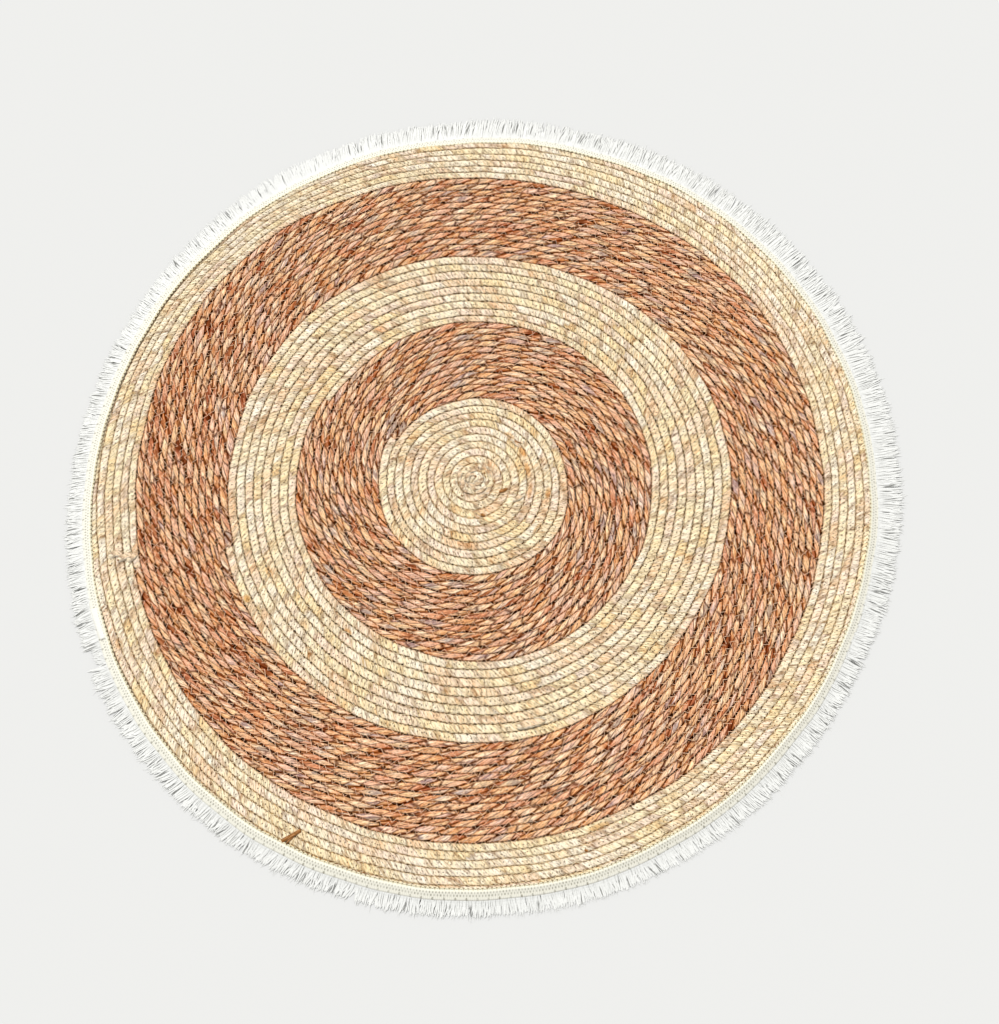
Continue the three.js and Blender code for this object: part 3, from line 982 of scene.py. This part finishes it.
# %% Shared leaf effects
def make_group(name, inputs, effect):
    """An effect as a node group. It is a function from its inputs to what it puts out, by name. The
    result is a function too: it adds the group to the open tree and hands back what comes out."""
    global tree
    group = tree = bpy.data.node_groups.new(name, "ShaderNodeTree")
    for label, usual in inputs.items():
        tree.interface.new_socket(label, in_out="INPUT", socket_type="NodeSocketFloat").default_value = usual
    results = effect(*add("NodeGroupInput", out=list(inputs)))
    for label in results:
        tree.interface.new_socket(label, in_out="OUTPUT", socket_type="NodeSocketFloat")
    ends = tree.nodes.new("NodeGroupOutput").inputs
    for label, value in results.items():
        fill(ends[label], value)
    print("group", name, "puts out", ", ".join(results))
    out = list(results) if len(results) > 1 else 0
    return lambda *values: add("ShaderNodeGroup", dict(enumerate(values)), out, node_tree=group)


def point(x, y):
    return add("ShaderNodeCombineXYZ", {"X": x, "Y": y})


def leaf_tones(along, across, random):
    cells = {"Vector": point(along, across), "Scale": 1.0, "Randomness": random}
    numbers = add("ShaderNodeTexVoronoi", cells, "Color", voronoi_dimensions="2D")
    tone, hue = add("ShaderNodeSeparateColor", {"Color": numbers}, [0, 1])
    edge = add("ShaderNodeTexVoronoi", cells, "Distance", voronoi_dimensions="2D", feature="DISTANCE_TO_EDGE")
    return {"Tone": tone, "Hue": hue, "Edge": smooth_step(edge, 0.1, 0.01)}


def wrinkle_lines(along, across, width):
    noise = {"Vector": point(along, across), "Scale": 1.0, "Detail": 2.0, "Roughness": 0.55}
    shade = add("ShaderNodeTexNoise", noise, noise_dimensions="2D")
    from_middle = calc("ABSOLUTE", shade - 0.5)
    return {"Line": smooth_step(from_middle / width, 1.0, 0.2), "Shade": shade}


def pit_spots(along, across, share):
    cells = {"Vector": point(along, across), "Scale": 1.0}
    distance, numbers = add("ShaderNodeTexVoronoi", cells, ["Distance", "Color"], voronoi_dimensions="2D")
    number = add("ShaderNodeSeparateColor", {"Color": numbers})
    size = number / share * 0.15
    return {"Pit": calc("LESS_THAN", number, share) * smooth_step(distance + size, 0.19, 0.1)}


def seam_lines(start, soft):
    side = add("ShaderNodeAttribute", out="Fac", attribute_name="side")
    inputs = {"Value": calc("ABSOLUTE", side), "From Min": start, "From Max": start + soft}
    return {"Depth": add("ShaderNodeMapRange", inputs, interpolation_type="SMOOTHSTEP")}


leaves_at = make_group("leaf_tones", {"Along": 0, "Across": 0, "Random": 1}, leaf_tones)
wrinkles_at = make_group("wrinkles", {"Along": 0, "Across": 0, "Width": 0.06}, wrinkle_lines)
pits_at = make_group("pits", {"Along": 0, "Across": 0, "Share": 0.5}, pit_spots)
seam_depth = make_group("seam_lines", {"Start": 0.82, "Soft": 0.1}, seam_lines)

# %% [markdown]
# The materials also share some plain functions: where a point lies on the rope, noises that come and
# go along it, holes in a row, and ways to lay one colour over another.


# %% Helpers for materials
def new_material(name):
    """A new material, and the place on the rope: metres along it, and the share of the way round."""
    global tree
    material = bpy.data.materials.new(name)
    material.use_nodes = True
    tree = material.node_tree
    uv = add("ShaderNodeUVMap", uv_map="rope")
    return material, *add("ShaderNodeSeparateXYZ", {0: uv}, ["X", "Y"])


def finished(material, base, roughness, gloss, relief, sheen=0.0):
    """The material with its paint. The relief is a height, how strong it is and how deep in metres."""
    normal = add("ShaderNodeBump", dict(zip(("Height", "Strength", "Distance"), relief)))
    looks = {"Base Color": base, "Roughness": roughness, "Specular IOR Level": gloss, "Sheen Weight": sheen}
    shader = tree.nodes["Principled BSDF"]
    for label, value in {**looks, "Normal": normal}.items():
        fill(shader.inputs[label], value)
    print("finish", material.name, "has", len(tree.nodes), "nodes")
    return material


def object_place():
    return add("ShaderNodeTexCoord", out="Object")


def length_of(vector):
    return add("ShaderNodeVectorMath", {0: vector}, "Value", operation="LENGTH")


def patchy(along, scale):
    """A slow noise along the rope that makes an effect come and go."""
    return add("ShaderNodeTexNoise", {"W": along * scale, "Detail": 1.0}, noise_dimensions="1D")


def chance(number):
    """A random share from 0 to 1 for each whole number."""
    return add("ShaderNodeTexWhiteNoise", {"W": number}, noise_dimensions="1D")


def hole_row(along, around, row, girth, pitch, shift=0.0):
    """How far a point is from the nearest hole of a row, in metres, and the number of that hole."""
    steps = along / pitch + shift
    lengthwise = (calc("FRACT", steps) - 0.5) * pitch
    sideways = (around - row) * girth
    return calc("SQRT", lengthwise**2.0 + sideways**2.0), calc("FLOOR", steps)


def blend_in(base, mask, most, paint):
    """The base colour with a paint over it, as much as the mask says and at most this share."""
    return mixed(calc("MULTIPLY", mask, most, clamp=True), base, paint)


def warm_stain_and_shade(base, mask, tint):
    """The base colour, deeper and warmer where the mask is: the tan stains, and painted shade where leaf lies
    between other leaves.
    """
    return mixed(mask, base, mixed(1.0, base, tint, "MULTIPLY"))


def leaf_gloss(base):
    """The gloss of a leaf. The pale skin shines a little, and the dark creases and pits don't."""
    return add("ShaderNodeRGBToBW", {"Color": base}) ** 1.5 * 0.4


# %% [markdown]
# Natural rush is a pale straw colour, and hardly two leaves are alike: most are cream, some are
# honey, pink or beige, and a few have gone orange. The wraps follow a helix, so the place of a leaf
# is its distance along the rope less a share of the lay for the way round. The needle left rows of
# small holes along the crest. The list of stains says where the photograph shows tan leaves: the
# middle of each, its length and its width in millimetres, and how deep it is.

# %% Natural rush
CREAM_TONES = [
    (0.0, 186, 136, 88),
    (0.08, 224, 184, 138),
    (0.2, 240, 212, 170),
    (0.36, 244, 225, 188),
    (0.52, 246, 232, 204),
    (0.68, 247, 235, 212),
    (0.85, 248, 240, 220),
    (1.0, 250, 244, 228),
]
CREAM_HUES = [
    (0.12, 255, 244, 242),
    (0.36, 255, 253, 252),
    (0.6, 255, 255, 254),
    (0.85, 255, 250, 234),
]
STAINS = [
    (54, 39, 8, 4.6, 0.9),
    (59.5, 16, 11, 3.8, 0.8),
    (62, -11, 12, 3.2, 0.7),
    (38, 60, 8, 3.6, 0.7),
    (84, -13, 8, 4, 0.8),
    (71, -57, 11, 3.5, 0.7),
    (8.5, 14.5, 7, 4, 0.5),
    (-15, -77, 12, 4, 0.5),
    (-270, -142, 6, 4.4, 0.9),
    (-246, -109, 9, 4.4, 0.6),
    (-203, -173, 8, 4.4, 0.4),
    (-151, -181, 6, 3.5, 0.9),
    (-447, -148, 14, 4.4, 0.5),
    (-431, -182, 14, 3.4, 0.8),
    (-414, -195, 9, 4.6, 0.5),
    (-401, -160, 8, 4.6, 0.5),
    (135, -401, 15, 4.2, 0.7),
]


def stains(place):
    """How deep the stains are. Each lies along the rope."""
    most = 0.0
    for x, y, length, width, depth in STAINS:
        own_place = {
            "Vector": place,
            "Location": (x * MM, y * MM, 0.008),
            "Rotation": (0, 0, math.atan2(y, x) + math.pi / 2),
            "Scale": (length * MM, width * MM, 0.02),
        }
        apart = length_of(add("ShaderNodeMapping", own_place, vector_type="TEXTURE"))
        most = calc("MAXIMUM", most, smooth_step(apart, 1.2, 0.5) * depth)
    return most


def make_natural_rush():
    material, along, around = new_material("natural_rush_leaf")
    helix = along - around * (WRAP_LAY * MM)
    wrinkle, folds = wrinkles_at(helix * 210.0, around * 1.5, 0.05)
    crease, creases = wrinkles_at(helix * 520.0, around * 3.0, 0.06)
    leaf, hue, edge = leaves_at(helix / 0.03 + folds * 0.6, around * 1.0, 0.85)
    place = object_place()
    from_middle = length_of(place)
    at_rim = smooth_step(from_middle, 0.41, 0.44)
    tone = 0.34 * leaf + 0.54 * patchy(along, 12.0) + 0.7 * (creases - 0.5) + 0.06 * at_rim
    base = mixed(1.0, chart(tone, seen, CREAM_TONES), chart(hue, colour, CREAM_HUES), "MULTIPLY")
    base = warm_stain_and_shade(base, stains(place), colour(228, 190, 142))
    rough = smooth_step(patchy(along, 45.0), 0.3, 0.6)
    # More wrinkle lines near the seams, as painted shade there.
    wrinkle_share = 0.12 + 0.5 * rough + 0.5 * seam_depth(0.6, 0.4)
    base = blend_in(base, wrinkle, wrinkle_share, seen(92, 52, 10))
    base = blend_in(base, crease, 0.2 + 0.5 * rough, seen(112, 72, 24))
    base = blend_in(base, edge, 0.45, seen(122, 80, 30))
    # The needle holes and pits are painted dark as the shade inside them.
    row = 0.45 + 0.1 * patchy(along, 60.0)
    apart, number = hole_row(along, around, row, girth=0.028, pitch=0.0052)
    needle_holes = smooth_step(apart, 0.0009, 0.0004) * smooth_step(chance(number), 0.1, 0.8)
    pits = pits_at(along / 0.0052, around * 6.4, 0.2)
    holes = calc("ADD", needle_holes, pits, clamp=True)
    base = blend_in(base, holes, 0.9, seen(64, 36, 6))
    # Painted shade: a warm, deeper tint over the sides of the rope, towards the seams.
    base = warm_stain_and_shade(base, seam_depth(0.72, 0.28), colour(238, 214, 178))
    # Painted shade: broken dark lines in the seams between the turns, fainter near the middle.
    seam = seam_depth(1.24 - 0.8 * patchy(along, 60.0), 0.05)
    seam_shade_share = 5.2 * patchy(along, 200.0) - 2.9 + 2.3 * patchy(along, 31.0) - 0.6 * at_rim
    seam_shade_from_middle = 0.2 + 0.8 * smooth_step(from_middle, 0.02, 0.12)
    base = blend_in(base, seam * seam_shade_from_middle, seam_shade_share, seen(38, 18, 2))
    height = 3.0 * folds + creases - 0.6 * wrinkle - holes
    return finished(material, base, 0.6, leaf_gloss(base), (height, 0.7, 0.0008))


natural_rush = make_natural_rush()

# %% [markdown]
# Brown rush is the same kind of leaf, left to age: terracotta and pinkish tan, with orange, dark
# brown, near-white and now and then a grey leaf. The V of this rope turns with its plies, so a ply
# is half of V, its creases lie at 0, a half and 1, and its leaves and fibres run along U. Painted
# shade darkens the creases and the seams, and a seam's shade is darkest where a crease meets it,
# because the plies leave a hollow there.

# %% Brown rush
BROWN_TONES = [
    (0.0, 120, 66, 36),
    (0.12, 182, 112, 74),
    (0.22, 226, 160, 112),
    (0.34, 247, 194, 148),
    (0.5, 254, 212, 172),
    (0.66, 255, 222, 186),
    (0.79, 253, 229, 202),
    (0.85, 196, 178, 166),
]
BROWN_HUES = [
    (0.12, 246, 234, 240),
    (0.36, 255, 253, 252),
    (0.6, 255, 255, 250),
    (0.85, 252, 248, 230),
]
FIBRE_SHADES = [(0.3, 206, 172, 146), (0.46, 255, 255, 255)]


def make_brown_rush():
    material, along, around = new_material("brown_rush_leaf")
    leaf, hue, edge = leaves_at(along / 0.034, around * 4.0, 0.95)
    strips = leaves_at(along / 0.019, around * 13.0, 1.0)[0]
    fibre, fibres = wrinkles_at(along * 75.0, around * 22.0, 0.08)
    left = add("ShaderNodeSeparateXYZ", {0: object_place()})
    worn = 0.1 * smooth_step(left, -0.24, -0.42)
    tone = 0.52 * leaf + 0.22 * strips + 0.78 * (patchy(along, 6.0) - 0.3) - worn
    base = mixed(1.0, chart(tone, seen, BROWN_TONES), chart(hue, colour, BROWN_HUES), "MULTIPLY")
    base = mixed(0.8, base, chart(fibres, colour, FIBRE_SHADES), "MULTIPLY")
    base = blend_in(base, fibre, 0.75, seen(104, 40, 8))
    base = blend_in(base, edge, 0.8, seen(78, 26, 4))
    from_crease = calc("PINGPONG", calc("FRACT", around * 2.0), 0.5)
    # Painted shade along the creases between the plies: a warm, deeper tint and a dark line.
    base = warm_stain_and_shade(base, smooth_step(from_crease, 0.2, 0.02), colour(230, 190, 148))
    base = blend_in(base, smooth_step(from_crease, 0.1, 0.0), 0.9, seen(60, 16, 0))
    # Pits painted dark as the shade inside them.
    pits = pits_at(along / 0.0085, around * 5.0, 0.35)
    base = blend_in(base, pits, 0.9, seen(44, 10, 0))
    # Painted shade: a warm, deeper tint towards the seams.
    base = warm_stain_and_shade(base, seam_depth(0.6, 0.4), colour(238, 200, 158))
    by_crease = smooth_step(from_crease, 0.32, 0.04)
    # Painted shade: dark dashes in the seams, widest where a crease meets them.
    seam = seam_depth(1.12 - 0.56 * patchy(along, 75.0) - 0.26 * by_crease, 0.12)
    seam_shade_share = 4.4 * patchy(along, 110.0) - 2.0 + 1.1 * by_crease
    base = blend_in(base, seam, seam_shade_share, seen(26, 4, 0))
    height = fibres + 0.3 * strips - 0.4 * edge - pits
    return finished(material, base, 0.55, leaf_gloss(base), (height, 0.7, 0.0008))


brown_rush = make_brown_rush()

# %% [markdown]
# A dark loose leaf is plainer: two shades of an old leaf in streaks along it, and darker edges where
# it curls.


# %% Dark loose leaves
def make_old_leaf(name, light, shade):
    material, along, around = new_material(name)
    line, streaks = wrinkles_at(along * 160.0, around * 9.0, 0.06)
    base = mixed(smooth_step(streaks, 0.3, 0.62), shade, light)
    base = blend_in(base, line, 0.6, seen(96, 56, 16))
    return finished(material, base, 0.6, leaf_gloss(base), (streaks, 0.6, 0.0006))


dark_leaf = make_old_leaf("dark_leaf", seen(180, 130, 82), seen(112, 70, 30))

# %% [markdown]
# The cotton is a soft off-white. It has no gloss, a faint twist along each yarn and a sheen at
# grazing angles, as loose fibres have. The looped edge, the tape's end and the sewing threads are the
# same cotton in other shades, and so is the dark strand of painted shade under the loops. The tape
# also has fine ladder lines across, two rows of tiny holes along it and a third, sparser row where
# the locks of the fringe start. Its holes are painted dark as the shade inside them. Each row has
# its V, a shift, and its pitch and the radius of its holes in metres.

# %% Cotton
TAPE_HOLES = [(0.71, 0.0, 0.0035, 0.00095), (0.53, 0.5, 0.0035, 0.00095), (0.33, 0.0, 0.0121, 0.0014)]
TAPE_GIRTH = 0.0115


def make_cotton(name, light, shade, twist, deep=0.0):
    """Twisted cotton. deep is the share of the yarns that lie in the shadow of the others half way."""
    material, along, around = new_material(name)
    ridges = calc("PINGPONG", along * twist + around * 2.0, 0.5)
    fuzz = add("ShaderNodeTexNoise", {"Vector": object_place(), "Scale": 900.0, "Detail": 2.0})
    base = mixed(smooth_step(ridges * fuzz, 0.03, 0.25), shade, light)
    if deep:
        yarn = along / (STRAND_APART * MM)
        part = calc("FRACT", yarn)
        middle = smooth_step(part, 0.05, 0.12) * smooth_step(part, 0.27, 0.2)
        # Painted shadow: some yarns turn grey half way, for the shade deep in the pile.
        painted_shadow = smooth_step(chance(calc("FLOOR", yarn)), deep, 0.4 * deep) * middle
        base = mixed(painted_shadow, base, colour(124, 124, 120))
    return finished(material, base, 0.9, 0.2, (ridges, 0.3, 0.0003), sheen=0.3)


def make_tape_weave():
    material, along, around = new_material("cotton_tape_weave")
    ladder = calc("PINGPONG", along / 0.0021, 0.5)
    rows = 0.0
    for row, shift, pitch, size in TAPE_HOLES:
        apart, number = hole_row(along, around, row, TAPE_GIRTH, pitch, shift)
        depth = 0.45 + 0.55 * chance(number + 1000 * row)
        rows = rows + smooth_step(apart, size, 0.6 * size) * depth
    base = mixed(smooth_step(ladder, 0.0, 0.25), colour(213, 210, 196), colour(225, 222, 208))
    # The rows of holes are painted dark as the shade inside them.
    base = mixed(rows * 0.7, base, colour(112, 106, 84))
    base = mixed(smooth_step(around, 0.7, 0.85), base, colour(234, 230, 212))
    return finished(material, base, 0.9, 0.2, (ladder - rows, 0.4, 0.0004), sheen=0.3)


white_yarn = make_cotton("white_cotton_yarn", colour(229, 229, 225), colour(213, 213, 209), 900.0, deep=0.1)
cream_yarn = make_cotton("cream_cotton_yarn", colour(232, 226, 200), colour(214, 204, 170), 900.0)
tape_weave = make_tape_weave()
plain_cotton = make_cotton("plain_cotton", colour(229, 228, 220), colour(220, 218, 208), 500.0)
thread_cotton = make_cotton("sewing_thread_cotton", seen(250, 214, 180), seen(234, 188, 150), 1500.0)
natural_cotton = make_cotton("natural_thread_cotton", seen(240, 224, 190), seen(214, 192, 150), 1500.0)
# Painted shade: the dark olive strand under the loops.
shade_strand_cotton = make_cotton("olive_shade_strand_cotton", seen(130, 108, 66), seen(96, 77, 41), 1500.0)

# %% [markdown]
# Each piece gets its finish, rides on the one body of the rug and takes the place of its solid. A
# coiled rug is a flat sheet, and the area of each coil but the outermost, as a flat disc or ring, is
# printed. The natural ring at the rim is too narrow a part of its square to be one by itself, and
# goes with the coil inside it, and so do the tape and its fringe.

# %% Bodies and finishes
finishes = {
    **{coil: (natural_rush, "natural_rush", name) for name, coil in cream_pieces.items()},
    **{coil: (brown_rush, "brown_rush", name) for name, coil in brown_pieces.items()},
    tape: (tape_weave, "white_cotton", "fringe_tape"),
    tape_end: (plain_cotton, "white_cotton", None),
    fringe: (white_yarn, "white_cotton", "fringe_tape"),
    loops: (cream_yarn, "white_cotton", None),
    scallop_shade_strand: (shade_strand_cotton, "white_cotton", None),
    brown_thread: (thread_cotton, "white_cotton", None),
    natural_thread: (natural_cotton, "white_cotton", None),
    knot: (natural_rush, "natural_rush", None),
    start_leaves: (natural_rush, "natural_rush", None),
    pale_leaves: (natural_rush, "natural_rush", None),
    dark_leaves_and_shade_strips: (dark_leaf, "brown_rush", None),
}
for piece, (material, slot, node) in finishes.items():
    piece.data.materials.append(material)
    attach(piece, "root")
    if node:
        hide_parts(node)


def declare_sheet(name):
    """Print the area of a coil as a flat sheet, a disc or a ring as wide as its length of rope."""
    inner, outer = (even_seam(LENGTHS[name][end]) * MM for end in ("first", "last"))
    area = math.pi * (outer**2 - inner**2)
    2 * outer
    2 * outer
    print(name, "is flat over", round(area, 4), "square metres")


declare_sheet("centre_coil")
declare_sheet("inner_brown_coil")
declare_sheet("middle_cream_coil")
declare_sheet("outer_brown_coil")

# %% [markdown]
# The floor is plain and pale. The light is a soft sun from the left and the far side, so that the
# rope's relief shows, and an even sky that fills the shadows.

# %% Floor and light
bpy.ops.mesh.primitive_plane_add(size=30, location=(0, 0, -0.0002))
floor = bpy.context.object
floor.name = "floor"
floor_paint = bpy.data.materials.new("pale_floor")
floor_paint.use_nodes = True
floor_shader = floor_paint.node_tree.nodes["Principled BSDF"]
floor_shader.inputs["Base Color"].default_value = colour(204, 204, 202)
floor_shader.inputs["Roughness"].default_value = 0.9
floor_shader.inputs["Specular IOR Level"].default_value = 0.0
floor.data.materials.append(floor_paint)

bpy.ops.object.light_add(type="SUN", rotation=(math.radians(-24), math.radians(-18), 0))
sun = bpy.context.object
sun.name = "soft_sun"
sun.data.energy = 2.85
sun.data.angle = math.radians(22)

world = bpy.data.worlds.new("studio")
bpy.context.scene.world = world
world.use_nodes = True
world.node_tree.nodes["Background"].inputs["Color"].default_value = (1, 1, 1, 1)
world.node_tree.nodes["Background"].inputs["Strength"].default_value = 0.65
